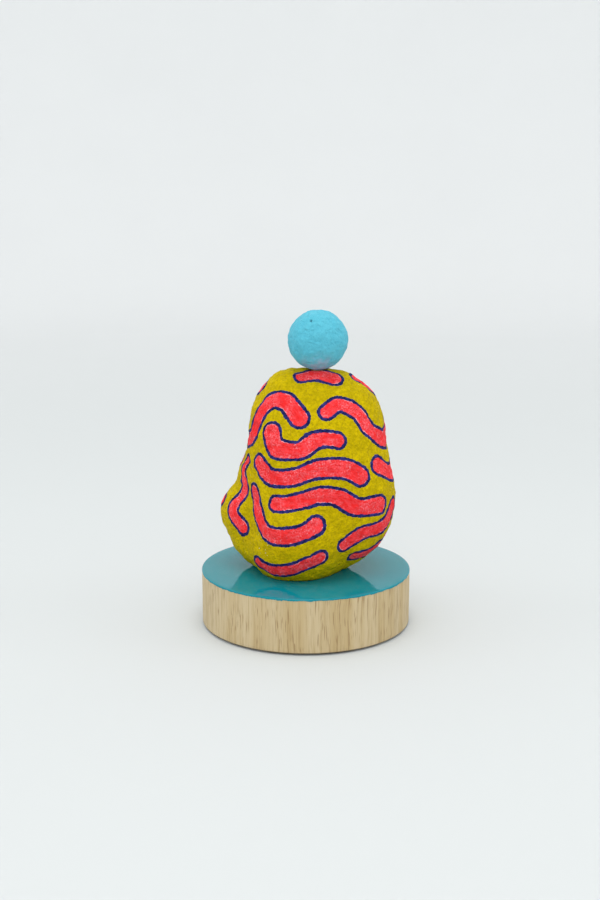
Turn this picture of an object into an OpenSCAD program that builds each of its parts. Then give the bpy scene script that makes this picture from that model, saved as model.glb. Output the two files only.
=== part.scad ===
// Painted papier-mache blob on a round wooden base, with a small ball that turns on a peg.
// Millimetres, +Z up. The origin is the centre of the face that the object stands on.

/* [Base] */
// Diameter of the wooden disc
base_d = 100; // [94:1:120]
// Thickness of the wooden disc
base_h = 25.5; // [20:0.5:27]
// Chamfer round the top and bottom edges of the disc
base_chamfer = 0.5; // [0.2:0.1:1.5]
// Thickness of the enamel coat on top of the disc
enamel_t = 0.3; // [0.2:0.1:0.6]
// Thickness of the felt pad under the disc
felt_t = 0.8; // [0.6:0.1:2]
// Distance of the pad's edge inside the disc's edge
felt_setback = 2; // [1:0.5:6]

/* [Body] */
// Thickness of the papier-mache skin, measured towards the middle of the body
skin_t = 3; // [2:0.5:4]
// Softness of the valleys between the lobes
lobe_blend = 2; // [1:0.25:3]
// Facets round the body
body_sectors = 60; // [24:4:64]
// Facets from the bottom of the body to its top
body_rings = 34; // [16:2:36]

/* [Ball] */
// Outer diameter of the ball
ball_d = 28.2; // [25:0.2:30]
// Thickness of the ball's papier-mache skin
ball_skin_t = 1.6; // [1.2:0.2:2.4]
// Air between the ball and its seat on the body
seat_gap = 0.35; // [0.3:0.05:0.6]

/* [Peg] */
// Diameter of the wooden peg
peg_d = 4; // [3:0.5:5]
// Length of the peg inside the body
peg_grip = 22; // [15:1:30]
// Length of the peg above the ball's middle
peg_reach = 4; // [0:0.5:6]
// Radial clearance between the peg and the ball's bore
peg_clearance = 0.05; // [0.02:0.01:0.1]

/* [Fasteners] */
// Shank diameter of the wood screws
screw_d = 3.5; // [3:0.5:4]
// Length of the wood screws below their heads
screw_length = 35; // [30:1:37]
// Distance between the two screws
screw_spacing = 12; // [11:0.5:13]
// Diameter of the counterbores in the disc
counterbore_d = 10; // [9.5:0.25:10.5]
// Depth of the counterbores in the disc
counterbore_depth = 8; // [6:0.5:10]

/* [Hidden] */
$fn = 96;

// Heights of the stack that the body stands on.
disc_z = felt_t;
enamel_z = disc_z + base_h;
stand_z = enamel_z + enamel_t;

// The two screws, as x and y of each one.
foot_x = -1;
foot_y = -4;
screw_places = [for (side = [-1, 1]) [foot_x + side * screw_spacing / 2, foot_y]];
screw_clearance = 0.25;
head_d = 7;
head_h = 2.4;
head_bevel = 0.8;
slot_length = 4;
slot_w = 1;
slot_depth = 1.2;
tip_length = 5;
tip_d = 0.6;
washer_d = 9;
washer_t = 0.8;
washer_z = disc_z + counterbore_depth - washer_t;
felt_hole_d = counterbore_d + 1;

// Wooden block that the screws bite into.
anchor_d = 22;
anchor_h = washer_z + screw_length - stand_z + 5;
part_gap = 0.2;

// Lobes of the body: centre above the enamel, then half-widths along X, Y and Z.
LOBES = [
    [[  5,   1, 47], [33, 28, 47]], // trunk
    [[ -6,   3, 69], [20, 20, 26]], // left shoulder
    [[ 13,   4, 66], [24, 22, 28]], // right shoulder
    [[  4,  -6, 46], [27, 24, 34]], // front face
    [[ 16,  -3, 35], [26, 25, 32]], // right hip
    [[ -1, -13, 24], [23, 22, 25]], // belly
    [[ -8, -14, 12], [17, 14, 14]], // toe
    [[ -1,  -4, 10], [20, 19, 14]], // foot
    [[-22,   7, 26], [19, 19, 16]], // left knob
    [[-16,   2, 15], [19, 18, 16]], // below the left knob
    [[-13,   6, 42], [19, 17, 18]], // left flank
    [[  9,  13, 36], [26, 24, 31]]  // back
];
body_height = 96;
lobe_middle = [2, 0, 42];
longest_ray = 80;
halvings = 14;

// The ball, which sinks a little into its seat, and its peg.
ball_x = 5.5;
ball_y = -1;
ball_r = ball_d / 2;
core_r = ball_r - ball_skin_t;
seat_sink = 0.3;
body_top_z = stand_z + body_height;
ball_z = body_top_z + ball_r - seat_sink;
peg_end_gap = 0.3;

// Height of a point over one lobe's surface, negative inside it.
function over_lobe(p, lobe) =
    let (q = p - lobe[0], r = lobe[1])
    (norm([q.x / r.x, q.y / r.y, q.z / r.z]) - 1) * min(r);

// Height over all lobes blended together and cut flat at the enamel, negative inside.
function over_body(p) =
    let (
        heights = [for (lobe = LOBES) over_lobe(p, lobe)],
        lowest = min(heights),
        crowd = [for (h = heights) exp((lowest - h) / lobe_blend)],
        total = crowd * [for (h = heights) 1]
    )
    max(lowest - lobe_blend * ln(total), -p.z);

// Distance from the middle to the surface along a direction, found by halving.
function ray_length(dir, low = 0, high = longest_ray, steps = halvings) =
    let (half = (low + high) / 2)
    steps == 0 ? half
    : over_body(lobe_middle + half * dir) < 0 ? ray_length(dir, half, high, steps - 1)
    : ray_length(dir, low, half, steps - 1);

// Point of the surface along a direction, moved towards the middle by inset.
function surface_point(dir, inset) =
    lobe_middle + (ray_length(dir) - inset) * dir + [0, 0, stand_z];

function direction(azimuth, elevation) =
    [cos(elevation) * cos(azimuth), cos(elevation) * sin(azimuth), sin(elevation)];

// Closed solid bounded by the body's surface, moved towards the middle by inset.
module blob(inset, sectors = body_sectors, rings = body_rings) {
    step = 180 / rings;
    points = concat(
        [surface_point([0, 0, -1], inset)],
        [for (r = [1:rings - 1], s = [0:sectors - 1])
            surface_point(direction(s * 360 / sectors, -90 + r * step), inset)],
        [surface_point([0, 0, 1], inset)]
    );
    top = len(points) - 1;
    last_ring = 1 + (rings - 2) * sectors;
    faces = concat(
        [for (s = [0:sectors - 1]) [0, 1 + s, 1 + (s + 1) % sectors]],
        [for (r = [0:rings - 3], s = [0:sectors - 1])
            let (
                near = 1 + r * sectors,
                next = (s + 1) % sectors
            )
            each [
                [near + s, near + sectors + s, near + next],
                [near + next, near + sectors + s, near + sectors + next]
            ]],
        [for (s = [0:sectors - 1]) [top, last_ring + (s + 1) % sectors, last_ring + s]]
    );
    polyhedron(points, faces);
}

// Upright cylinder from one height to another.
module post(x, y, d, low, high) {
    translate([x, y, low]) cylinder(d = d, h = high - low);
}

module at_screws() {
    for (place = screw_places) translate([place.x, place.y, 0]) children();
}

module base_disc() {
    r = base_d / 2;
    c = base_chamfer;
    color("tan") difference() {
        translate([0, 0, disc_z]) rotate_extrude($fn = 180) polygon([
            [0, 0], [r - c, 0], [r, c], [r, base_h - c], [r - c, base_h], [0, base_h]
        ]);
        at_screws() {
            post(0, 0, screw_d + 2 * screw_clearance, disc_z - 1, enamel_z + 1);
            post(0, 0, counterbore_d, disc_z - 1, disc_z + counterbore_depth);
        }
    }
}

module base_enamel() {
    color("teal") difference() {
        translate([0, 0, enamel_z]) cylinder(r = base_d / 2 - base_chamfer, h = enamel_t, $fn = 180);
        at_screws() post(0, 0, screw_d + 2 * screw_clearance, enamel_z - 1, stand_z + 1);
    }
}

module base_felt() {
    color("dimgray") difference() {
        cylinder(r = base_d / 2 - felt_setback, h = felt_t, $fn = 180);
        at_screws() post(0, 0, felt_hole_d, -1, felt_t + 1);
    }
}

// Wood screw, its shank upwards, with the underside of the head at height 0.
module wood_screw() {
    r = head_d / 2;
    difference() {
        rotate_extrude() polygon([
            [0, -head_h], [r - head_bevel, -head_h], [r, -head_h + head_bevel], [r, 0],
            [screw_d / 2, 0], [screw_d / 2, screw_length - tip_length],
            [tip_d / 2, screw_length], [0, screw_length]
        ]);
        for (turn = [0, 90]) rotate(turn)
            translate([-slot_length / 2, -slot_w / 2, -head_h - 1])
                cube([slot_length, slot_w, slot_depth + 1]);
    }
}

module base_screws() {
    color("silver") at_screws() translate([0, 0, washer_z]) wood_screw();
}

module base_washers() {
    color("gainsboro") at_screws() difference() {
        post(0, 0, washer_d, washer_z, washer_z + washer_t);
        post(0, 0, screw_d + 2 * screw_clearance, washer_z - 1, washer_z + washer_t + 1);
    }
}

module anchor_block() {
    color("burlywood") difference() {
        post(foot_x, foot_y, anchor_d, stand_z, stand_z + anchor_h);
        at_screws() {
            post(0, 0, screw_d, stand_z - 1, washer_z + screw_length - tip_length);
            translate([0, 0, washer_z + screw_length - tip_length])
                cylinder(d1 = screw_d, d2 = tip_d, h = tip_length);
        }
    }
}

module body_core() {
    color("whitesmoke") difference() {
        blob(skin_t + part_gap, body_sectors / 2, body_rings / 2);
        post(foot_x, foot_y, anchor_d + 2 * part_gap, 0, stand_z + anchor_h + part_gap);
        post(ball_x, ball_y, peg_d, body_top_z - peg_grip, body_top_z + 1);
    }
}

module body_shell() {
    color("goldenrod") difference() {
        blob(0);
        blob(skin_t, body_sectors / 2, body_rings / 2);
        post(foot_x, foot_y, anchor_d + 2 * part_gap, stand_z - 1, stand_z + skin_t + 2);
        post(ball_x, ball_y, peg_d, body_top_z - skin_t - 2, body_top_z + 2);
        translate([ball_x, ball_y, ball_z]) sphere(r = ball_r + seat_gap);
    }
}

module ball_peg() {
    tip = 0.6;
    r = peg_d / 2;
    low = body_top_z - peg_grip;
    high = ball_z + peg_reach;
    color("peru") translate([ball_x, ball_y, 0]) rotate_extrude() polygon([
        [0, low], [r, low], [r, high - tip], [r - tip, high], [0, high]
    ]);
}

module ball_core() {
    color("white") difference() {
        translate([ball_x, ball_y, ball_z]) sphere(r = core_r);
        post(ball_x, ball_y, peg_d + 2 * peg_clearance, ball_z - ball_r,
            ball_z + peg_reach + peg_end_gap);
    }
}

module ball_shell() {
    color("skyblue") difference() {
        translate([ball_x, ball_y, ball_z]) sphere(r = ball_r);
        translate([ball_x, ball_y, ball_z]) sphere(r = core_r);
        post(ball_x, ball_y, peg_d + 1, ball_z - ball_r - 1, ball_z - core_r + 2);
    }
}

base_disc();
base_enamel();
base_felt();
base_screws();
base_washers();
body_shell();
body_core();
anchor_block();
ball_shell();
ball_core();
ball_peg();
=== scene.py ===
import math

import bmesh
import bpy
import numpy as np
from mathutils import Matrix, Vector, noise


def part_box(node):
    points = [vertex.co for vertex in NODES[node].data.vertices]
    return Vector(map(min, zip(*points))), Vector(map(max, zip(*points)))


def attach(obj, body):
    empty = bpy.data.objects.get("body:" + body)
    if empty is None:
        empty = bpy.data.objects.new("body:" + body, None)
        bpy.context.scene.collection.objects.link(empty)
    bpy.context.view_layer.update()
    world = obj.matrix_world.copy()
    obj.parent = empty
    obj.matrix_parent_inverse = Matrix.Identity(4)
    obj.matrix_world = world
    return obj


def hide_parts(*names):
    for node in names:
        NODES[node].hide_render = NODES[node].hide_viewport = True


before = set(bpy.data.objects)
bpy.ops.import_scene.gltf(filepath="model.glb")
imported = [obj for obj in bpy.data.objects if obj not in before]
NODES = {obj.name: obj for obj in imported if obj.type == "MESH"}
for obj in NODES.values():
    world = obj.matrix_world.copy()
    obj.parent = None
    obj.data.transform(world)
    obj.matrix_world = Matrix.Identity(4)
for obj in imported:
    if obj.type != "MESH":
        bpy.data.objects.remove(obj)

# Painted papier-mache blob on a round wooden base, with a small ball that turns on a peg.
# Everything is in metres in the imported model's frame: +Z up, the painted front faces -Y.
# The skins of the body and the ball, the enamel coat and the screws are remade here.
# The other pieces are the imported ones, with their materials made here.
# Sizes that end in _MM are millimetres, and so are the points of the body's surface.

MM = 0.001
SHARP_ANGLE = math.radians(50)
WELD_MM = 0.001        # points nearer than this become one
CLEAR_MM = 2.0         # how far a cutter reaches past the surface that it opens
POST_SECTORS = 48
BOX_DEPTH_MM = 10.0    # height of a box cutter, more than any recess is deep
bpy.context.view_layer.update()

# ---------------------------------------------------------------- sizes from the frame

DISC_LOW, DISC_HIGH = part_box("base_disc")
ENAMEL_LOW, ENAMEL_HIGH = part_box("base_enamel")
ANCHOR_LOW, ANCHOR_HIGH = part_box("anchor_block")
SCREWS_LOW, SCREWS_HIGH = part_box("base_screws")
BALL_LOW, BALL_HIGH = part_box("ball_shell")
BALL_CORE_LOW, BALL_CORE_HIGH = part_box("ball_core")
PEG_LOW, PEG_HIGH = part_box("ball_peg")
BASE_RADIUS = (DISC_HIGH.x - DISC_LOW.x) / 2
STAND_Z = ENAMEL_HIGH.z
BALL_RADIUS = (BALL_HIGH.x - BALL_LOW.x) / 2
BALL_CORE_RADIUS = (BALL_CORE_HIGH.x - BALL_CORE_LOW.x) / 2
BALL_CENTRE = Vector((
    (BALL_LOW.x + BALL_HIGH.x) / 2,
    (BALL_LOW.y + BALL_HIGH.y) / 2,
    BALL_HIGH.z - BALL_RADIUS,
))

# ---------------------------------------------------------------- the body's surface

# The same lobes as the CAD body, in millimetres above the enamel: centre, half-widths.
LOBES = [
    ((5, 1, 47), (33, 28, 47)),     # trunk
    ((-6, 3, 69), (20, 20, 26)),    # left shoulder
    ((13, 4, 66), (24, 22, 28)),    # right shoulder
    ((4, -6, 46), (27, 24, 34)),    # front face
    ((16, -3, 35), (26, 25, 32)),   # right hip
    ((-1, -13, 24), (23, 22, 25)),  # belly
    ((-8, -14, 12), (17, 14, 14)),  # toe
    ((-1, -4, 10), (20, 19, 14)),   # foot
    ((-22, 7, 26), (19, 19, 16)),   # left knob
    ((-16, 2, 15), (19, 18, 16)),   # below the left knob
    ((-13, 6, 42), (19, 17, 18)),   # left flank
    ((9, 13, 36), (26, 24, 31)),    # back
]
LOBE_BLEND_MM = 2.0
MIDDLE_MM = np.array((2.0, 0.0, 42.0))
LONGEST_RAY_MM = 80.0
HALVINGS = 16


def over_body(points):
    """Height of each point over the blended lobes, negative inside, cut flat at the enamel."""
    heights = []
    for centre, radii in LOBES:
        radii = np.array(radii, float)
        reach = np.linalg.norm((points - np.array(centre, float)) / radii, axis=-1)
        heights.append((reach - 1) * radii.min())
    heights = np.array(heights)
    lowest = heights.min(0)
    crowd = np.exp((lowest - heights) / LOBE_BLEND_MM).sum(0)
    return np.maximum(lowest - LOBE_BLEND_MM * np.log(crowd), -points[..., 2])


def on_body(directions):
    """Points of the body's surface along unit directions from its middle, by halving."""
    low = np.zeros(len(directions))
    high = np.full(len(directions), LONGEST_RAY_MM)
    for _ in range(HALVINGS):
        half = (low + high) / 2
        inside = over_body(MIDDLE_MM + directions * half[:, None]) < 0
        low = np.where(inside, half, low)
        high = np.where(inside, high, half)
    return MIDDLE_MM + directions * ((low + high) / 2)[:, None]


def direction(azimuth, elevation):
    """Unit direction: azimuth 0 is the front and 90 the right, elevation 90 is up."""
    a, e = math.radians(azimuth), math.radians(elevation)
    return (math.cos(e) * math.sin(a), -math.cos(e) * math.cos(a), math.sin(e))


# ---------------------------------------------------------------- meshes

def cube_sphere(cuts):
    """Unit directions and quads of a cube with cuts squares a side, blown up to a sphere."""
    turns = np.tan(np.linspace(-math.pi / 4, math.pi / 4, cuts + 1))
    u, v = np.meshgrid(turns, turns, indexing="ij")
    one = np.ones_like(u)
    sides = [(one, u, v), (-one, v, u), (v, one, u), (u, -one, v), (u, v, one), (v, u, -one)]
    points = np.concatenate([np.stack(s, -1).reshape(-1, 3) for s in sides])
    points /= np.linalg.norm(points, axis=1)[:, None]
    row = np.arange(cuts)
    i, j = np.meshgrid(row, row, indexing="ij")
    corner = (i * (cuts + 1) + j).ravel()
    square = np.stack([corner, corner + cuts + 1, corner + cuts + 2, corner + 1], -1)
    quads = np.concatenate([square + s * (cuts + 1) ** 2 for s in range(len(sides))])
    _, first, where = np.unique(
        np.round(points, 6), axis=0, return_index=True, return_inverse=True
    )
    return points[first], where.ravel()[quads]


def new_object(name, points, faces):
    """Smooth mesh object with these points, in metres, and faces, linked to the scene."""
    mesh = bpy.data.meshes.new(name)
    mesh.from_pydata(np.asarray(points).tolist(), [], np.asarray(faces).tolist())
    mesh.validate()
    mesh.shade_smooth()
    obj = bpy.data.objects.new(name, mesh)
    bpy.context.scene.collection.objects.link(obj)
    return obj


def normals_of(points, quads):
    """Unit normal at every point of a quad mesh, pointing out."""
    across = points[quads[:, 2]] - points[quads[:, 0]]
    along = points[quads[:, 3]] - points[quads[:, 1]]
    flat = np.cross(across, along)
    total = np.zeros_like(points)
    for corner in range(4):
        np.add.at(total, quads[:, corner], flat)
    return total / np.linalg.norm(total, axis=1)[:, None]


def lathe(name, profile, sectors, waver=None):
    """Surface of revolution about Z from (radius, height) points, closed to a point where the
    radius is 0. waver changes the rings, an array of ring, sector and X, Y, Z."""
    turn = np.arange(sectors) * 2 * math.pi / sectors
    rings = np.array([
        np.stack([r * np.cos(turn), r * np.sin(turn), np.full(sectors, z)], -1)
        for r, z in profile
    ])
    if waver:
        rings = waver(rings, turn)
    row, side = np.meshgrid(np.arange(len(profile) - 1), np.arange(sectors), indexing="ij")
    near, after = row * sectors + side, row * sectors + (side + 1) % sectors
    quads = np.stack([near, after, after + sectors, near + sectors], -1).reshape(-1, 4)
    obj = new_object(name, rings.reshape(-1, 3), quads)
    shape = bmesh.new()
    shape.from_mesh(obj.data)
    bmesh.ops.remove_doubles(shape, verts=shape.verts, dist=WELD_MM * MM)
    bmesh.ops.recalc_face_normals(shape, faces=shape.faces)
    shape.to_mesh(obj.data)
    shape.free()
    return obj


def post(x, y, radius, low, high):
    """Upright cylinder from one height to another, to carve with."""
    profile = [(0, low), (radius, low), (radius, high), (0, high)]
    cutter = lathe("cutter", profile, POST_SECTORS)
    cutter.data.transform(Matrix.Translation((x, y, 0)))
    return cutter


def box_cutter(size, high):
    """Upright box about the Z axis, from BOX_DEPTH_MM below up to a height, to carve with."""
    x, y = size[0] / 2, size[1] / 2
    square = [(-x, -y), (x, -y), (x, y), (-x, y)]
    points = [(*corner, z) for z in (high - BOX_DEPTH_MM * MM, high) for corner in square]
    faces = [(3, 2, 1, 0), (4, 5, 6, 7), (0, 1, 5, 4), (1, 2, 6, 5), (2, 3, 7, 6), (3, 0, 4, 7)]
    return new_object("cutter", points, faces)


def carve(obj, cutters):
    """Takes the cutters' solids out of a closed mesh, and deletes them."""
    for cutter in cutters:
        cut = obj.modifiers.new("carve", "BOOLEAN")
        cut.operation = "DIFFERENCE"
        cut.object = cutter
    graph = bpy.context.evaluated_depsgraph_get()
    mesh = bpy.data.meshes.new_from_object(obj.evaluated_get(graph))
    obj.modifiers.clear()
    obj.data = mesh
    mesh.set_sharp_from_angle(angle=SHARP_ANGLE)
    for cutter in cutters:
        bpy.data.objects.remove(cutter)


def places_of(obj):
    """The points of a mesh, in metres, as an array."""
    points = np.empty(3 * len(obj.data.vertices), np.float32)
    obj.data.vertices.foreach_get("co", points)
    return points.reshape(-1, 3).astype(float)


def add_attribute(obj, name, values):
    """Stores one number at every point of a mesh, for its material to read."""
    layer = obj.data.attributes.new(name, "FLOAT", "POINT")
    layer.data.foreach_set("value", np.asarray(values, np.float32))


# ---------------------------------------------------------------- paper relief

# The vector noise is shifted by a seed taken from the clock, unless one is set.
VECTOR_NOISE_SEED = 7
noise.seed_set(VECTOR_NOISE_SEED)

# Each seed moves a noise by so many times these steps, so that no two look alike.
NOISE_STEP = (7.3, 3.1, 5.7)
SCRAP_STEP = (2.9, 6.1, 4.3)
SCRAP_WARP = 0.25       # how far a scrap's edge wanders, as a share of its size
SCRAP_WARP_RATE = 2.3   # how many wanders to a scrap
SCRAP_SPREAD = 5.7      # scraps this many times farther apart have unlike levels
SCRAP_GAIN = 1.6
# Layers of the relief: height and size across, both in millimetres.
LUMPS = (0.42, 11.0)
DENTS = (0.45, 4.4)
CRUMPLE = (0.30, 2.2)
GRAIN = (0.10, 1.2)
SCRAPS = (0.12, 12.0)
CREASES = (0.16, 3.2)
CREASE_WIDTH = 0.30     # in the noise's own units
CREASE_PATCH_MM = 3.8   # creases come in patches of about this size


def noise_at(points, size, seed):
    """Smooth noise from -1 to 1 at each point, with bumps about size across."""
    shift = Vector([seed * step for step in NOISE_STEP])
    return np.array([noise.noise(Vector(p) / size + shift) for p in points.tolist()])


def groove(points, size, width, seed):
    """1 along winding lines where the noise changes sign, falling to 0 beside them."""
    near = np.clip(1 - np.abs(noise_at(points, size, seed)) / width, 0, 1)
    return near * near * (3 - 2 * near)


def scrap_steps(points, size, seed):
    """A level from -1 to 1 for each of the overlapping scraps that cover the surface."""
    shift = Vector([seed * step for step in SCRAP_STEP])
    levels = []
    for point in points.tolist():
        place = Vector(point) / size + shift
        place += SCRAP_WARP * noise.noise_vector(place * SCRAP_WARP_RATE)
        nearest = noise.voronoi(place)[1][0]
        levels.append(noise.noise(nearest * SCRAP_SPREAD) * SCRAP_GAIN)
    return np.clip(levels, -1, 1)


def layer(kind, points, seed):
    """One layer of smooth bumps, in millimetres."""
    height, size = kind
    return height * noise_at(points, size, seed)


def paper_relief(points, seed):
    """Crumpled, pasted paper: its height in millimetres, and its hollows from 0 to 1, where the
    paints add painted shade.
    """
    lumps = layer(LUMPS, points, seed)
    dents = layer(DENTS, points, seed + 1)
    crumple = layer(CRUMPLE, points, seed + 2)
    grain = layer(GRAIN, points, seed + 3)
    scrap_height, scrap_size = SCRAPS
    scraps = scrap_height * scrap_steps(points, scrap_size, seed + 4)
    crease_depth, crease_size = CREASES
    creases = groove(points, crease_size, CREASE_WIDTH, seed + 5)
    creases *= np.clip(4 * noise_at(points, CREASE_PATCH_MM, seed + 6) - 0.4, 0, 1)
    height = lumps + dents + crumple + grain + scraps - crease_depth * creases
    # how deep each point lies in a crease or hollow, for painted shade there
    hollow = np.clip(0.6 * creases - 2.0 * crumple - 3.0 * grain, 0, 1)
    return height, hollow


# ---------------------------------------------------------------- painted bars

# Wavy bars: half-widths in millimetres at start and end, and the line as azimuth, elevation.
BARS = [
    # front
    (4.4, 4.9, [(-30, 81), (14, 83), (56, 76)]),
    (5.1, 4.2, [(-14, 58), (-34, 65), (-55, 63), (-67, 53), (-72, 41), (-86, 35)]),
    (4.2, 5.0, [(20, 60), (38, 62), (54, 54), (64, 41), (80, 32), (97, 36)]),
    (5.4, 4.5, [(-45, 47), (-35, 38), (-12, 37), (6, 44), (26, 42)]),
    (4.6, 5.4, [(-56, 24), (-38, 14), (-14, 17), (8, 23), (30, 21), (42, 14)]),
    (5.0, 4.5, [(61, 18), (76, 10), (94, 11), (108, 18)]),
    (4.4, 5.1, [(-30, -7), (-12, -4), (6, 2), (23, 0), (38, -9), (56, -9)]),
    (4.3, 5.0, [(-60, -2), (-52, -16), (-35, -27), (-14, -26), (4, -20)]),
    (4.9, 4.2, [(74, -12), (64, -24), (46, -28), (30, -37)]),
    (3.9, 4.4, [(-48, -46), (-30, -49), (-8, -46), (8, -41)]),
    (4.3, 3.8, [(48, -48), (64, -44), (80, -37), (94, -27)]),
    (3.2, 4.0, [(-77, 22), (-84, 12), (-77, -2), (-80, -17), (-70, -30)]),
    # right side
    (4.3, 4.9, [(94, 66), (102, 57), (118, 56), (132, 62)]),
    (4.8, 4.2, [(114, 39), (128, 35), (144, 40)]),
    (4.4, 5.0, [(122, 9), (135, 13), (149, 7), (162, 9)]),
    (4.9, 4.3, [(90, -8), (104, -13), (120, -10), (136, -16), (152, -14)]),
    (4.4, 3.9, [(108, -39), (122, -36), (140, -41)]),
    # back
    (4.3, 4.8, [(150, 54), (170, 55), (-170, 50)]),
    (4.9, 4.4, [(160, 31), (174, 34), (-168, 29), (-154, 32)]),
    (4.5, 5.1, [(-174, 5), (-162, 10), (-149, 6), (-138, -2)]),
    (4.8, 4.2, [(168, -18), (-176, -15), (-162, -19), (-151, -17)]),
    (3.9, 4.5, [(158, -43), (172, -39), (-172, -43)]),
    # left side
    (4.9, 4.2, [(-98, 63), (-114, 61), (-128, 53), (-144, 52)]),
    (4.2, 4.8, [(-101, 44), (-108, 35), (-120, 26), (-136, 27)]),
    (4.0, 4.4, [(-100, 18), (-107, 8), (-118, 3)]),
    (4.6, 4.1, [(-99, -14), (-112, -17), (-126, -24), (-140, -36)]),
    (4.1, 3.7, [(-98, -42), (-116, -44)]),
    # top, behind the ball
    (4.3, 4.7, [(-150, 74), (178, 75)]),
]
STEPS_BETWEEN = 14
CHUNK = 4000           # points measured at a time, to save memory
NEXT_BAR_MM = 37.0     # added to the place along each next bar, so that its streaks differ


def smooth_line(knots):
    """Catmull-Rom curve through unit directions, with STEPS_BETWEEN steps between them."""
    knots = [2 * knots[0] - knots[1], *knots, 2 * knots[-1] - knots[-2]]
    line = []
    for before, start, end, after in zip(knots, knots[1:], knots[2:], knots[3:]):
        for t in np.linspace(0, 1, STEPS_BETWEEN, endpoint=False):
            bend = 2 * before - 5 * start + 4 * end - after
            twist = 3 * (start - end) + after - before
            line.append(start + 0.5 * t * (end - before + t * (bend + t * twist)))
    line.append(knots[-2])
    line = np.array(line)
    return line / np.linalg.norm(line, axis=1)[:, None]


def bar_lines():
    """Short straight pieces of all the bars: starts, ends, half-widths and lengths so far."""
    starts, ends, widths, runs = [], [], [], []
    for first_width, last_width, places in BARS:
        knots = [np.array(direction(*place)) for place in places]
        line = on_body(smooth_line(knots))
        step = np.linalg.norm(np.diff(line, axis=0), axis=1)
        starts.append(line[:-1])
        ends.append(line[1:])
        widths.append(np.linspace(first_width, last_width, len(step)))
        runs.append(np.cumsum(step) - step + NEXT_BAR_MM * len(runs))
    return [np.concatenate(part) for part in (starts, ends, widths, runs)]


def bar_distances(points):
    """For each point: distance outside the nearest bar's edge, and place along that bar."""
    starts, ends, widths, runs = bar_lines()
    step = ends - starts
    square = (step ** 2).sum(1)
    outside = np.empty(len(points))
    along = np.empty(len(points))
    for first in range(0, len(points), CHUNK):
        here = points[first:first + CHUNK]
        gap = here[:, None, :] - starts[None]
        part = np.clip((gap * step).sum(-1) / square, 0, 1)
        away = np.linalg.norm(gap - part[..., None] * step, axis=-1) - widths
        nearest = away.argmin(1)
        rows = np.arange(len(here))
        outside[first:first + CHUNK] = away[rows, nearest]
        length = np.sqrt(square[nearest])
        along[first:first + CHUNK] = runs[nearest] + part[rows, nearest] * length
    return outside, along


# ---------------------------------------------------------------- materials

class Paint:
    """A new node material, with short ways to add and link its nodes."""

    def __init__(self, name):
        self.material = bpy.data.materials.new(name)
        self.material.use_nodes = True
        self.tree = self.material.node_tree
        self.shader = self.tree.nodes["Principled BSDF"]
        self.place = self.add("ShaderNodeTexCoord").outputs["Object"]

    def put(self, socket, value):
        if isinstance(value, bpy.types.NodeSocket):
            self.tree.links.new(value, socket)
        elif isinstance(value, tuple) and len(value) == 3 and socket.type == "RGBA":
            socket.default_value = (*value, 1)
        else:
            socket.default_value = value

    def add(self, kind, inputs=None, **settings):
        new = self.tree.nodes.new(kind)
        for key, value in settings.items():
            setattr(new, key, value)
        for key, value in (inputs or {}).items():
            self.put(new.inputs[key], value)
        return new

    def maths(self, operation, a, b):
        return self.add("ShaderNodeMath", {0: a, 1: b}, operation=operation).outputs[0]

    def times(self, a, b):
        return self.maths("MULTIPLY", a, b)

    def stretched(self, scale):
        """Object place in metres, multiplied by scale along X, Y and Z."""
        return self.add(
            "ShaderNodeVectorMath", {0: self.place, 1: scale}, operation="MULTIPLY"
        ).outputs[0]

    def noise(self, size_mm, detail=2.0, rough=0.5, vector=None):
        """Noise from 0 to 1 with spots about size_mm across, or of size 1 in vector."""
        scale = 1.0 if vector else 1 / (size_mm * MM)
        return self.add("ShaderNodeTexNoise", {
            "Vector": vector or self.place, "Scale": scale, "Detail": detail,
            "Roughness": rough,
        }).outputs["Fac"]

    def above(self, value, low, high):
        """0 where value is under low, 1 over high, smooth between; low may be the larger."""
        flip = low > high
        return self.add("ShaderNodeMapRange", {
            "Value": value, "From Min": high if flip else low,
            "From Max": low if flip else high,
            "To Min": float(flip), "To Max": float(not flip),
        }, interpolation_type="SMOOTHSTEP").outputs["Result"]

    def mix(self, amount, first, second):
        """Colour first where amount is 0, second where it is 1."""
        new = self.add("ShaderNodeMix", data_type="RGBA")
        self.put(new.inputs[0], amount)
        self.put(new.inputs[6], first)
        self.put(new.inputs[7], second)
        return new.outputs[2]

    def blend(self, amount, first, second):
        """Number first where amount is 0, second where it is 1."""
        new = self.add("ShaderNodeMix", data_type="FLOAT")
        self.put(new.inputs[0], amount)
        self.put(new.inputs[2], first)
        self.put(new.inputs[3], second)
        return new.outputs[0]

    def attribute(self, name):
        return self.add("ShaderNodeAttribute", attribute_name=name).outputs["Fac"]

    def bump(self, height, depth_mm):
        return self.add("ShaderNodeBump", {
            "Height": height, "Distance": depth_mm * MM,
        }).outputs["Normal"]

    def finish(self, **inputs):
        """Sets the shader's sockets, named with _ for a space, and returns the material."""
        for key, value in inputs.items():
            self.put(self.shader.inputs[key.replace("_", " ")], value)
        return self.material


# Colours, as linear red, green and blue.
MUSTARD, MUSTARD_PALE = (0.515, 0.382, 0.001), (0.595, 0.442, 0.001)
OLIVE = (0.37, 0.285, 0.001)
# darker mustard for painted shade in the relief's hollows
OLIVE_HOLLOW_SHADE = (0.33, 0.25, 0.001)
BROWN_STAIN = (0.27, 0.17, 0.010)
BARE_FLECK = (0.80, 0.76, 0.50)
CORAL, CORAL_PALE = (0.80, 0.024, 0.025), (0.86, 0.052, 0.062)
CORAL_DRY = (0.90, 0.20, 0.24)
CORAL_BARE = (0.90, 0.56, 0.57)
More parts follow.
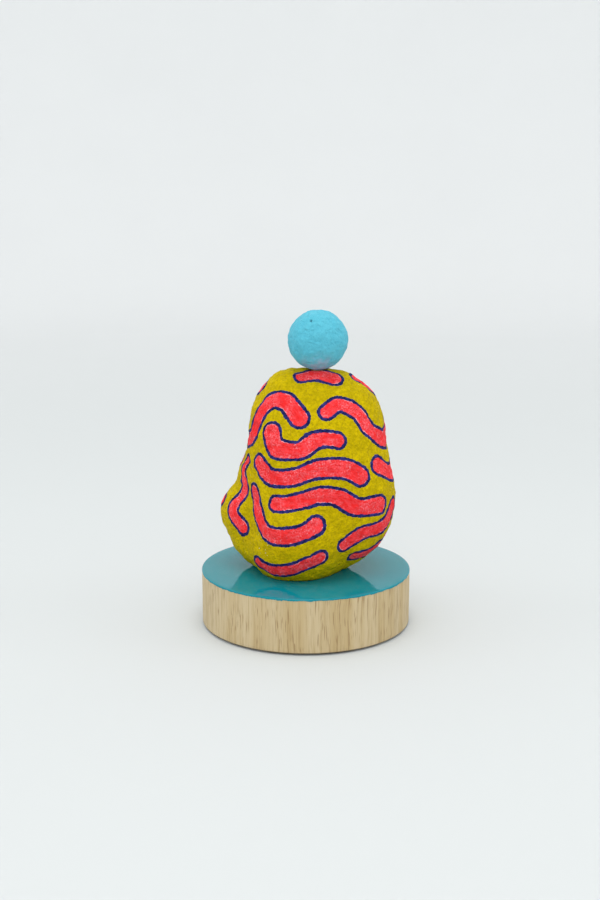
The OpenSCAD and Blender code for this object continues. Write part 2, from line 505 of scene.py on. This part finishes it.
# darker coral for painted shade in the relief's hollows
CORAL_HOLLOW_SHADE = (0.68, 0.020, 0.028)
CORAL_FRINGE = (0.92, 0.50, 0.56)
INK_POOLED, INK_THIN = (0.008, 0.012, 0.070), (0.036, 0.036, 0.190)
INK_BLUE = (0.014, 0.026, 0.140)
BARE_PAPER = (0.52, 0.50, 0.44)
TURQUOISE, TURQUOISE_PALE = (0.075, 0.425, 0.550), (0.108, 0.480, 0.605)
TURQUOISE_DEEP = (0.060, 0.37, 0.50)
# darker turquoise for painted shade in the relief's hollows
TURQUOISE_HOLLOW_SHADE = (0.055, 0.36, 0.50)
# painted pink bounce light from the coral body, low on the ball
BOUNCE_PINK = (0.46, 0.27, 0.43)
# painted shade inside the pinhole
PINHOLE_SHADE = (0.01, 0.03, 0.05)
WOOD_PALE, WOOD_BAND = (0.558, 0.446, 0.265), (0.488, 0.362, 0.176)
WOOD_FIBRE = (0.345, 0.225, 0.080)
WOOD_STREAK = (0.300, 0.182, 0.056)
WOOD_PORE = (0.250, 0.140, 0.044)
# painted shade of the gap under the disc, along the wood's lower edge
WOOD_EDGE_SHADE = (0.10, 0.075, 0.045)
TEAL, TEAL_PALE = (0.001, 0.200, 0.246), (0.001, 0.230, 0.279)
FELT_DARK, FELT_PALE = (0.020, 0.020, 0.022), (0.055, 0.055, 0.060)
STEEL_DARK, STEEL_PALE = (0.50, 0.50, 0.49), (0.62, 0.61, 0.59)
PULP_DARK, PULP_PALE = (0.42, 0.39, 0.33), (0.66, 0.63, 0.56)
PULP_FIBRE = (0.24, 0.22, 0.20)
DOWEL_DARK, DOWEL_PALE = (0.42, 0.27, 0.12), (0.66, 0.49, 0.28)
# paler far out, as painted light that makes up for the weaker light on the far floor and wall
SWEEP_NEAR, SWEEP_FAR = (0.590, 0.612, 0.612), (0.757, 0.770, 0.774)
SWEEP_MOTTLE = (0.56, 0.57, 0.58)


def paper_height(paint):
    """Fine tooth and soft, mostly level wrinkles of painted paper, from 0 to about 2."""
    tooth = paint.noise(0.45, 3.0, 0.6)
    wrinkle = paint.noise(1.0, 3.0, 0.55, vector=paint.stretched((420, 420, 900)))
    pits = paint.above(paint.noise(1.5, 2.0), 0.30, 0.52)
    height = paint.maths("ADD", paint.times(tooth, 0.5), wrinkle)
    return paint.maths("ADD", height, paint.times(pits, 0.5))


def mustard(paint, hollow):
    """Brushed mustard over paper, mottled olive and brown, with small bare flecks and painted
    shade in the relief's hollows.
    """
    broad = paint.noise(6.0, 3.0)
    fine = paint.noise(1.3, 4.0, 0.7)
    colour = paint.mix(paint.above(broad, 0.35, 0.65), MUSTARD, MUSTARD_PALE)
    olive = paint.times(paint.above(fine, 0.44, 0.58), 0.6)
    colour = paint.mix(olive, colour, OLIVE)
    stain = paint.above(paint.noise(1.1, 3.0, 0.6), 0.56, 0.66)
    brown = paint.times(stain, paint.above(paint.noise(8.0, 2.0), 0.42, 0.58))
    colour = paint.mix(paint.times(brown, 0.45), colour, BROWN_STAIN)
    # painted shade in the relief's hollows
    colour = paint.mix(paint.times(hollow, 0.40), colour, OLIVE_HOLLOW_SHADE)
    speck = paint.above(paint.noise(0.9, 2.0), 0.70, 0.73)
    fleck = paint.times(speck, paint.above(paint.noise(13.0, 1.0), 0.58, 0.66))
    return paint.mix(fleck, colour, BARE_FLECK)


def coral(paint, hollow, along, across):
    """Coral red with paler, drier streaks along each bar, pink flecks and painted shade in the
    relief's hollows.
    """
    lane = paint.add("ShaderNodeCombineXYZ", {
        0: paint.times(along, 0.22), 1: paint.times(across, 1.1),
    }).outputs[0]
    streak = paint.noise(1.0, 3.0, 0.6, vector=lane)
    speck = paint.noise(0.8, 4.0, 0.75)
    patch = paint.noise(6.5, 3.0, 0.6)
    colour = paint.mix(paint.above(streak, 0.40, 0.68), CORAL, CORAL_PALE)
    dry = paint.times(paint.above(speck, 0.44, 0.60), paint.above(patch, 0.38, 0.58))
    colour = paint.mix(paint.times(dry, 0.54), colour, CORAL_DRY)
    bare = paint.times(paint.above(speck, 0.63, 0.68), paint.above(patch, 0.46, 0.58))
    colour = paint.mix(paint.times(bare, 0.8), colour, CORAL_BARE)
    # painted shade in the relief's hollows
    return paint.mix(paint.times(hollow, 0.30), colour, CORAL_HOLLOW_SHADE)


def navy(paint):
    """Marker ink: navy, near black where it pooled and violet where it is thin."""
    thin = paint.above(paint.noise(2.2, 3.0, 0.6), 0.38, 0.66)
    colour = paint.mix(thin, INK_POOLED, INK_THIN)
    return paint.mix(paint.above(paint.noise(0.7, 2.0), 0.50, 0.72), colour, INK_BLUE)


OUTLINE_MM = 1.5
FRINGE_MM = 0.4         # pale gap that the brush left beside the line here and there
INK_SOFT_MM = 0.05      # half the width over which the line's edge fades
OUTER_WOBBLE_MM = 0.8
INNER_WOBBLE_MM = 0.6
SHAKE_MM = 0.9


def body_paint():
    """Mustard ground, coral bars and the marker line round each bar."""
    paint = Paint("body_paint")
    edge = paint.attribute("bar_edge_mm")
    along = paint.attribute("bar_along_mm")
    hollow = paint.attribute("hollow")
    wobble = paint.maths("SUBTRACT", paint.noise(1.7, 2.0), 0.5)
    shake = paint.maths("SUBTRACT", paint.noise(1.0, 2.0), 0.5)
    outer = paint.maths("ADD", edge, paint.times(wobble, OUTER_WOBBLE_MM))
    outer = paint.maths("ADD", outer, paint.times(shake, SHAKE_MM))
    inner = paint.maths("SUBTRACT", edge, paint.times(wobble, INNER_WOBBLE_MM))
    inner = paint.maths("SUBTRACT", inner, paint.times(shake, SHAKE_MM))
    inked = paint.above(outer, INK_SOFT_MM, -INK_SOFT_MM)
    filled = paint.above(inner, -OUTLINE_MM + INK_SOFT_MM, -OUTLINE_MM - INK_SOFT_MM)
    beside = paint.above(inner, -OUTLINE_MM - FRINGE_MM, -OUTLINE_MM)
    fringe = paint.times(beside, paint.above(paint.noise(3.0, 2.0), 0.52, 0.60))
    fill = coral(paint, hollow, along, edge)
    red = paint.mix(paint.times(fringe, 0.8), fill, CORAL_FRINGE)
    colour = paint.mix(filled, paint.mix(inked, mustard(paint, hollow), navy(paint)), red)
    colour = paint.mix(paint.attribute("bare"), colour, BARE_PAPER)
    rough = paint.blend(inked, 0.62, paint.blend(filled, 0.50, 0.60))
    height = paint.maths("ADD", paper_height(paint), paint.times(inked, 0.25))
    return paint.finish(
        Base_Color=colour, Roughness=rough, Normal=paint.bump(height, 0.50),
        Specular_IOR_Level=0.03,
    )


def ball_paint():
    """Turquoise brushed over paper, with painted pink bounce light low down, and painted shade
    in the relief's hollows and in the pinhole.
    """
    paint = Paint("ball_paint")
    hollow = paint.attribute("hollow")
    broad = paint.noise(5.0, 3.0)
    fine = paint.noise(0.7, 4.0, 0.7)
    colour = paint.mix(broad, TURQUOISE, TURQUOISE_PALE)
    deep = paint.times(paint.above(fine, 0.46, 0.66), 0.6)
    colour = paint.mix(deep, colour, TURQUOISE_DEEP)
    # painted shade in the relief's hollows
    colour = paint.mix(paint.times(hollow, 0.35), colour, TURQUOISE_HOLLOW_SHADE)
    # painted pink bounce light from the coral body, on the ball's underside
    painted_bounce = paint.above(paint.noise(3.0, 2.0), 0.25, 0.65)
    painted_bounce = paint.times(paint.attribute("painted_bounce"), painted_bounce)
    colour = paint.mix(paint.times(painted_bounce, 0.45), colour, BOUNCE_PINK)
    # painted shade inside the pinhole
    colour = paint.mix(paint.attribute("pinhole"), colour, PINHOLE_SHADE)
    colour = paint.mix(paint.attribute("bare"), colour, BARE_PAPER)
    return paint.finish(
        Base_Color=colour, Roughness=paint.blend(fine, 0.52, 0.70),
        Normal=paint.bump(paper_height(paint), 0.36), Specular_IOR_Level=0.2,
    )


EDGE_SHADE_MM = 0.8          # height of the painted shade along the lower edge
SWAY_MM = 2.0           # how far the fibres bend sideways


def sawn_wood():
    """Pale open-pored wood with its fibres along Z, with painted shade along its lower edge."""
    paint = Paint("base_wood")
    sway = paint.maths("SUBTRACT", paint.noise(22.0, 1.0), 0.5)
    bend = paint.add("ShaderNodeCombineXYZ", {
        0: paint.times(sway, SWAY_MM * MM), 1: paint.times(sway, SWAY_MM * MM),
    }).outputs[0]
    bent = paint.add(
        "ShaderNodeVectorMath", {0: paint.place, 1: bend}, operation="ADD"
    ).outputs[0]

    def fibres(across_mm, along_mm, detail):
        scale = (1 / (across_mm * MM), 1 / (across_mm * MM), 1 / (along_mm * MM))
        return paint.noise(1.0, detail, 0.6, vector=paint.add(
            "ShaderNodeVectorMath", {0: bent, 1: scale}, operation="MULTIPLY"
        ).outputs[0])

    fine = fibres(0.9, 35.0, 4.0)
    band = fibres(9.0, 200.0, 2.0)
    streak = fibres(1.0, 26.0, 3.0)
    pore = fibres(0.65, 11.0, 1.0)
    patch = fibres(9.0, 14.0, 1.0)
    colour = paint.mix(paint.above(band, 0.32, 0.68), WOOD_PALE, WOOD_BAND)
    colour = paint.mix(paint.times(paint.above(fine, 0.46, 0.68), 0.48), colour, WOOD_FIBRE)
    colour = paint.mix(paint.times(paint.above(streak, 0.56, 0.66), 0.34), colour, WOOD_STREAK)
    pores = paint.times(paint.above(pore, 0.57, 0.65), paint.above(patch, 0.40, 0.56))
    colour = paint.mix(paint.times(pores, 0.65), colour, WOOD_PORE)
    height = paint.add("ShaderNodeSeparateXYZ", {0: paint.place}).outputs["Z"]
    # painted shade of the gap under the disc, along the wood's lower edge
    edge_shade = paint.above(height, DISC_LOW.z + EDGE_SHADE_MM * MM, DISC_LOW.z + EDGE_SHADE_MM / 2 * MM)
    colour = paint.mix(paint.times(edge_shade, 0.7), colour, WOOD_EDGE_SHADE)
    relief = paint.maths("SUBTRACT", paint.times(fine, 0.4), pores)
    return paint.finish(
        Base_Color=colour, Roughness=paint.blend(fine, 0.50, 0.68),
        Normal=paint.bump(relief, 0.06), Specular_IOR_Level=0.6,
    )


def teal_enamel():
    """Brushed-on gloss enamel."""
    paint = Paint("teal_enamel")
    cloud = paint.noise(14.0, 2.0)
    colour = paint.mix(cloud, TEAL, TEAL_PALE)
    peel = paint.noise(3.0, 2.0)
    brushed = paint.noise(1.0, 2.0, vector=paint.stretched((90, 900, 90)))
    height = paint.maths("ADD", peel, paint.times(brushed, 0.25))
    return paint.finish(
        Base_Color=colour, Roughness=paint.blend(cloud, 0.025, 0.055),
        Normal=paint.bump(height, 0.05), Specular_IOR_Level=0.25,
    )


def felt():
    """Dark, fuzzy pad under the disc."""
    paint = Paint("felt")
    fuzz = paint.noise(0.5, 4.0, 0.7)
    hair = paint.noise(1.0, 3.0, 0.7, vector=paint.stretched((2600, 700, 900)))
    colour = paint.mix(fuzz, FELT_DARK, FELT_PALE)
    return paint.finish(
        Base_Color=colour, Roughness=0.95, Sheen_Weight=0.3,
        Normal=paint.bump(paint.maths("ADD", fuzz, hair), 0.20),
    )


def turned_steel():
    """Plain steel with fine lines round it, for the screws and the washers."""
    paint = Paint("steel")
    lines = paint.noise(1.0, 2.0, vector=paint.stretched((300, 300, 9000)))
    spots = paint.noise(0.8, 3.0)
    colour = paint.mix(spots, STEEL_DARK, STEEL_PALE)
    return paint.finish(
        Base_Color=colour, Metallic=1.0, Roughness=paint.blend(lines, 0.22, 0.42),
        Normal=paint.bump(lines, 0.01),
    )


def pressed_paper():
    """Grey-white pulp with dark fibres, for the two cores."""
    paint = Paint("pressed_paper")
    scrap = paint.noise(3.5, 4.0, 0.6)
    fibre = paint.noise(0.5, 3.0, 0.7)
    colour = paint.mix(scrap, PULP_DARK, PULP_PALE)
    colour = paint.mix(paint.above(fibre, 0.60, 0.70), colour, PULP_FIBRE)
    return paint.finish(
        Base_Color=colour, Roughness=0.9,
        Normal=paint.bump(paint.maths("ADD", scrap, fibre), 0.4),
    )


def dowel_wood():
    """Plain wood with upright fibres, for the anchor block and the peg."""
    paint = Paint("dowel_wood")
    fibre = paint.noise(1.0, 4.0, 0.6, vector=paint.stretched((1600, 1600, 60)))
    colour = paint.mix(fibre, DOWEL_DARK, DOWEL_PALE)
    return paint.finish(
        Base_Color=colour, Roughness=0.7, Normal=paint.bump(fibre, 0.05)
    )


def sweep_paper():
    """Pale grey paper, painted paler away from the object where less light reaches the far
    floor and wall, with faint large clouds.
    """
    paint = Paint("sweep_paper")
    away = paint.add("ShaderNodeVectorMath", {0: paint.place}, operation="LENGTH")
    # painted light: paler away from the object, where less light falls
    rise = paint.above(away.outputs["Value"], 0.3, 1.6)
    colour = paint.mix(rise, SWEEP_NEAR, SWEEP_FAR)
    mottle = paint.times(paint.noise(160.0, 2.0), 0.1)
    colour = paint.mix(mottle, colour, SWEEP_MOTTLE)
    return paint.finish(Base_Color=colour, Roughness=0.9, Specular_IOR_Level=0.1)


def give(obj, material):
    """Makes this the object's only material."""
    obj.data.materials.clear()
    obj.data.materials.append(material)


# ---------------------------------------------------------------- pieces

BODY_SEED = 1
BODY_CUTS = 128
BODY_INSIDE_CUTS = 40
BODY_SKIN_MM = 3.0
PLAIN_MM = 1.0          # the relief fades out over this height above the enamel
SEAT_GAP_MM = 0.35
COLLAR_MM = 0.8         # how far the paper rises round the foot of the ball
COLLAR_RADIUS_MM = 6.5
FOOT_OPENING_MM = 5.0   # how far the anchor's opening goes up through the foot
PEG_OPENING_MM = 6.0    # how far the peg's opening goes down through the skin
ANCHOR_EASE_MM = 0.2
HAND_MM = 0.8           # how far the painted edges stray from the bars' plain outline
HAND_SIZE_MM = 9.0
HAND_SEED = 9

BALL_SEED = 21
BALL_CUTS = 96
BALL_INSIDE_CUTS = 32
BALL_RELIEF = 0.8       # the ball's relief as a share of the body's
BALL_SINK_MM = 0.15
BALL_FOOT = -0.8        # nothing stands proud below this share of the radius
BALL_BORE_EASE_MM = 0.5
BALL_BORE_MM = 4.0
BARE_DEPTH = 0.9        # paint ends at this share of the skin's thickness
PINHOLE = direction(-20, 46)
PINHOLE_RADIUS_MM = 0.45
PINHOLE_DEPTH_MM = 1.0
CREASE = direction(-15, 41)
CREASE_RADIUS_MM = 0.8
CREASE_DEPTH_MM = 0.25
# centre and reach of the painted bounce light low on the ball
BOUNCE_SPOT = direction(2, -60)
BOUNCE_RADIUS_MM = 8.0


def middle_of(low, high):
    """Centre in X and Y of an upright piece, and its radius."""
    return (low.x + high.x) / 2, (low.y + high.y) / 2, (high.x - low.x) / 2


def make_body():
    """The papier-mache skin of the body, with its hollow, its seat and its two openings."""
    directions, quads = cube_sphere(BODY_CUTS)
    smooth = on_body(directions)
    height, hollow = paper_relief(smooth, BODY_SEED)
    height *= np.clip(smooth[:, 2] / PLAIN_MM, 0, 1)
    points = smooth + normals_of(smooth, quads) * height[:, None]
    ball = (np.array(BALL_CENTRE) - (0, 0, STAND_Z)) / MM
    beside = np.linalg.norm(points[:, :2] - ball[:2], axis=1) / COLLAR_RADIUS_MM
    lift = ball[2] - BALL_RADIUS / MM + COLLAR_MM - points[:, 2]
    lift = np.where(points[:, 2] > ball[2] / 2, np.maximum(lift, 0), 0)
    points[:, 2] += lift * np.exp(-beside ** 4)
    away = points - ball
    reach = np.linalg.norm(away, axis=1)[:, None]
    seat = BALL_RADIUS / MM + SEAT_GAP_MM
    points = np.where(reach < seat, ball + away / reach * seat, points)
    body = new_object("painted_body", points * MM + (0, 0, STAND_Z), quads)
    # how deep each point lies in the relief's hollows, for painted shade there
    add_attribute(body, "hollow", hollow)

    inward, inner_quads = cube_sphere(BODY_INSIDE_CUTS)
    inside = on_body(inward) - inward * BODY_SKIN_MM
    void = new_object("cutter", inside * MM + (0, 0, STAND_Z), inner_quads)
    x, y, radius = middle_of(ANCHOR_LOW, ANCHOR_HIGH)
    foot = post(x, y, radius + ANCHOR_EASE_MM * MM, STAND_Z - CLEAR_MM * MM,
                STAND_Z + FOOT_OPENING_MM * MM)
    x, y, radius = middle_of(PEG_LOW, PEG_HIGH)
    bore = post(x, y, radius, BALL_LOW.z - PEG_OPENING_MM * MM, BALL_CENTRE.z)
    carve(body, [void, foot, bore])

    points = (places_of(body) - (0, 0, STAND_Z)) / MM
    outside, along = bar_distances(points)
    stray = HAND_MM * noise_at(points, HAND_SIZE_MM, HAND_SEED)
    add_attribute(body, "bar_edge_mm", outside + stray)
    add_attribute(body, "bar_along_mm", along)
    rays = points - MIDDLE_MM
    depth = np.linalg.norm(rays, axis=1)
    skin = np.linalg.norm(on_body(rays / depth[:, None]) - MIDDLE_MM, axis=1)
    add_attribute(body, "bare", (skin - depth > BODY_SKIN_MM / 2).astype(float))
    give(body, body_paint())
    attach(body, "sculpture")
    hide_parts("body_shell")


def make_ball():
    """The papier-mache skin of the ball, with its hollow, its bore and a pinhole."""
    directions, quads = cube_sphere(BALL_CUTS)
    radius = BALL_RADIUS / MM
    smooth = directions * radius
    height, hollow = paper_relief(smooth, BALL_SEED)
    height = BALL_RELIEF * height - BALL_SINK_MM
    hole = np.linalg.norm(smooth - np.array(PINHOLE) * radius, axis=1) / PINHOLE_RADIUS_MM
    crease = np.linalg.norm(smooth - np.array(CREASE) * radius, axis=1) / CREASE_RADIUS_MM
    height -= PINHOLE_DEPTH_MM * np.exp(-hole ** 2) + CREASE_DEPTH_MM * np.exp(-crease ** 2)
    under = directions[:, 2] < BALL_FOOT
    height[under] = np.minimum(height[under], 0)
    points = smooth + directions * height[:, None]
    ball = new_object("painted_ball", points * MM + BALL_CENTRE, quads)
    # how deep each point lies in the relief's hollows, for painted shade there
    add_attribute(ball, "hollow", hollow)
    # where the pinhole gets its painted shade
    add_attribute(ball, "pinhole", np.exp(-hole ** 2))
    # painted bounce light from the coral body, low on the ball
    bounce_reach = np.linalg.norm(smooth - np.array(BOUNCE_SPOT) * radius, axis=1) / BOUNCE_RADIUS_MM
    add_attribute(ball, "painted_bounce", np.exp(-bounce_reach ** 4))

    inward, inner_quads = cube_sphere(BALL_INSIDE_CUTS)
    void = new_object("cutter", inward * BALL_CORE_RADIUS + BALL_CENTRE, inner_quads)
    x, y, peg_radius = middle_of(PEG_LOW, PEG_HIGH)
    bore = post(x, y, peg_radius + BALL_BORE_EASE_MM * MM, BALL_LOW.z - CLEAR_MM * MM,
                BALL_LOW.z + BALL_BORE_MM * MM)
    carve(ball, [void, bore])
    depth = BALL_RADIUS - np.linalg.norm(places_of(ball) - BALL_CENTRE, axis=1)
    skin = BALL_RADIUS - BALL_CORE_RADIUS
    add_attribute(ball, "bare", (depth > BARE_DEPTH * skin).astype(float))
    give(ball, ball_paint())
    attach(ball, "ball")
    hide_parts("ball_shell")


CHAMFER_MM = 0.5
COAT_MM = 0.1
COAT_RINGS = 20
COAT_SECTORS = 900
RIM_ROUND_MM = 0.5
RIM_TURNS = np.radians(np.arange(0, 91, 15))
RAG_MM = 0.35           # how far the hem runs up and down
RAG_WAVES = 14          # waves and nicks of the hem, as rates of its noise
RAG_NICKS = 70
NICK_SHARE = 0.8

SCREW_SECTORS = 36
SCREW_HEAD_MM = 7.0
SCREW_HOLE_MM = 4.0
SCREW_SHANK_MM = 3.5
HEAD_HEIGHT_MM = 2.4
HEAD_BEVEL_MM = 0.8
RECESS_LENGTH_MM = 4.0
RECESS_WIDTH_MM = 1.0
RECESS_DEPTH_MM = 1.2
NECK_MM = 14.0
PITCH_MM = 1.5
THREAD_STEP_MM = 0.19
TIP_MM = 5.0
BLUNT = 0.17            # radius of the point, as a share of the shank's
ROOT = 0.66             # radius at the bottom of the thread, likewise
RIDGE_SLOPE = 4         # a ridge is half a pitch wide at its foot


def screw_places():
    """X and Y of the two screws."""
    reach = SCREW_HEAD_MM / 2 * MM
    y = (SCREWS_LOW.y + SCREWS_HIGH.y) / 2
    return [(SCREWS_LOW.x + reach, y), (SCREWS_HIGH.x - reach, y)]


def make_enamel():
    """The coat on the disc: rounded over the rim, and ending unevenly below its chamfer."""
    bend = RIM_ROUND_MM * MM
    edge = BASE_RADIUS + COAT_MM * MM
    floor = DISC_HIGH.z
    hem = floor - CHAMFER_MM * MM
    flat = [(edge * k / COAT_RINGS, STAND_Z) for k in range(COAT_RINGS)]
    rim = [
        (edge - bend + bend * math.sin(a), STAND_Z - bend + bend * math.cos(a))
        for a in RIM_TURNS
    ]
    under = [(BASE_RADIUS, hem), (BASE_RADIUS - CHAMFER_MM * MM, floor), (0, floor)]
    hem_ring = len(flat) + len(rim)

    def ragged(rings, turn):
        for ring in (hem_ring, hem_ring + 1):
            rings[ring, :, 2] += RAG_MM * MM * np.array([
                noise.noise(Vector((math.cos(t), math.sin(t), 0)) * RAG_WAVES)
                + NICK_SHARE * noise.noise(Vector((math.cos(t), math.sin(t), 3)) * RAG_NICKS)
                for t in turn
            ])
        return rings

    profile = flat + rim + [(edge, hem)] + under
    enamel = lathe("enamel_coat", profile, COAT_SECTORS, ragged)
    carve(enamel, [
        post(x, y, SCREW_HOLE_MM / 2 * MM, floor - MM, STAND_Z + MM) for x, y in screw_places()
    ])
    give(enamel, teal_enamel())
    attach(enamel, "sculpture")
    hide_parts("base_enamel")


def make_screws(steel):
    """The two wood screws: a bevelled head with a cross recess, a plain neck and a thread."""
    low, tip = SCREWS_LOW.z, SCREWS_HIGH.z
    head, shank = SCREW_HEAD_MM / 2 * MM, SCREW_SHANK_MM / 2 * MM
    bevel = HEAD_BEVEL_MM * MM
    seat = low + HEAD_HEIGHT_MM * MM
    thread = np.arange(seat + NECK_MM * MM, tip, THREAD_STEP_MM * MM)
    solid = [(0, low), (head - bevel, low), (head, low + bevel), (head, seat), (shank, seat)]
    point = 1 - np.clip((thread - tip) / (TIP_MM * MM) + 1, 0, 1)
    cone = [(shank * (BLUNT + (1 - BLUNT) * p), z) for p, z in zip(point, thread)]

    def threaded(rings, turn):
        first = len(solid)
        rise = (rings[first:-1, :, 2] - thread[0]) / (PITCH_MM * MM)
        phase = (rise - turn / (2 * math.pi)) % 1
        ridge = np.clip(1 - np.abs(phase - 0.5) * RIDGE_SLOPE, 0, 1) * np.clip(rise, 0, 1)
        plain = np.clip(1 - rise, 0, 1)
        rings[first:-1, :, :2] *= (ROOT + (1 - ROOT) * np.maximum(ridge, plain))[..., None]
        return rings

    screw = lathe("wood_screw", solid + cone + [(0, tip)], SCREW_SECTORS, threaded)
    recess = low + RECESS_DEPTH_MM * MM
    long, wide = RECESS_LENGTH_MM * MM, RECESS_WIDTH_MM * MM
    carve(screw, [box_cutter((long, wide), recess), box_cutter((wide, long), recess)])
    both = bmesh.new()
    for x, y in screw_places():
        one = screw.data.copy()
        one.transform(Matrix.Translation((x, y, 0)))
        both.from_mesh(one)
    both.to_mesh(screw.data)
    both.free()
    give(screw, steel)
    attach(screw, "sculpture")
    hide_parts("base_screws")


def finish_cad_nodes(steel):
    """Materials of the CAD pieces that are shown as they are."""
    paper = pressed_paper()
    dowel = dowel_wood()
    looks = {
        "base_disc": sawn_wood(), "base_felt": felt(), "base_washers": steel,
        "body_core": paper, "ball_core": paper,
        "anchor_block": dowel, "ball_peg": dowel,
    }
    for name, material in looks.items():
        give(NODES[name], material)


# ---------------------------------------------------------------- stage, light, camera

SWEEP_FLAT = 1.2
SWEEP_BEND = 0.8
SWEEP_WALL = 0.3
SWEEP_RINGS = (0, 0.2, 0.6)
SWEEP_BEND_STEPS = 16
SWEEP_SECTORS = 96
TENT_TINT = (0.985, 1.0, 1.0, 1)
# The tent's brightness against height on a unit sky.
TENT = {"From Min": 0.45, "From Max": 0.9, "To Min": 1.2, "To Max": 0.95}
# Soft boxes: place in metres, width in metres, and power in watts.
SOFT_BOXES = {
    "top_box": ((0.0, -0.2, 1.6), 1.2, 9.0),
    "left_box": ((-1.1, -0.1, 0.6), 0.7, 1.3),
    "right_box": ((1.1, -0.1, 0.6), 0.7, 1.3),
    "front_box": ((0.0, -1.2, 0.48), 0.6, 2.7),
}
CAMERA_LENS = 50.0
CAMERA_DISTANCE = 0.607
CAMERA_ELEVATION = math.radians(17.35)
CAMERA_PITCH = math.radians(12.05)
CAMERA_SIDE = -2.8 * MM


def make_sweep():
    """Round pale paper sweep: flat under the object, curving up into a wall."""
    bend = [
        (SWEEP_FLAT + SWEEP_BEND * math.sin(a), SWEEP_BEND * (1 - math.cos(a)))
        for a in np.linspace(0, math.pi / 2, SWEEP_BEND_STEPS)
    ]
    wall = [(SWEEP_FLAT + SWEEP_BEND, SWEEP_BEND + SWEEP_WALL)]
    flat = [(radius, 0) for radius in SWEEP_RINGS]
    sweep = lathe("paper_sweep", flat + bend + wall, SWEEP_SECTORS)
    give(sweep, sweep_paper())


def area_light(name, place, aim, size, power):
    """Round soft box at a place, turned towards a point."""
    data = bpy.data.lights.new(name, "AREA")
    data.shape = "DISK"
    data.size = size
    data.energy = power
    light = bpy.data.objects.new(name, data)
    light.location = place
    light.rotation_euler = (Vector(aim) - Vector(place)).to_track_quat("-Z", "Y").to_euler()
    bpy.context.scene.collection.objects.link(light)


def make_light():
    """A light tent, a little brighter low down all round, and four soft boxes."""
    world = bpy.data.worlds.new("tent")
    world.use_nodes = True
    nodes, links = world.node_tree.nodes, world.node_tree.links
    sky = nodes["Background"]
    sky.inputs["Color"].default_value = TENT_TINT
    around = nodes.new("ShaderNodeTexCoord")
    height = nodes.new("ShaderNodeSeparateXYZ")
    glow = nodes.new("ShaderNodeMapRange")
    glow.interpolation_type = "SMOOTHSTEP"
    for name, value in TENT.items():
        glow.inputs[name].default_value = value
    links.new(around.outputs["Generated"], height.inputs[0])
    links.new(height.outputs["Z"], glow.inputs["Value"])
    links.new(glow.outputs["Result"], sky.inputs["Strength"])
    bpy.context.scene.world = world
    centre = (0, 0, STAND_Z)
    for name, (place, size, power) in SOFT_BOXES.items():
        area_light(name, place, centre, size, power)


def make_camera():
    """Camera at the front, a little above the object, looking slightly down."""
    camera = bpy.data.objects.new("camera", bpy.data.cameras.new("camera"))
    camera.data.lens = CAMERA_LENS
    camera.data.clip_start = 0.01
    camera.location = (
        CAMERA_SIDE,
        -CAMERA_DISTANCE * math.cos(CAMERA_ELEVATION),
        STAND_Z + CAMERA_DISTANCE * math.sin(CAMERA_ELEVATION),
    )
    camera.rotation_euler = (math.pi / 2 - CAMERA_PITCH, 0, 0)
    bpy.context.scene.collection.objects.link(camera)
    bpy.context.scene.camera = camera
    bpy.context.scene.view_settings.view_transform = "Standard"


make_body()
make_ball()
make_enamel()
STEEL = turned_steel()
make_screws(STEEL)
finish_cad_nodes(STEEL)
make_sweep()
make_light()
make_camera()
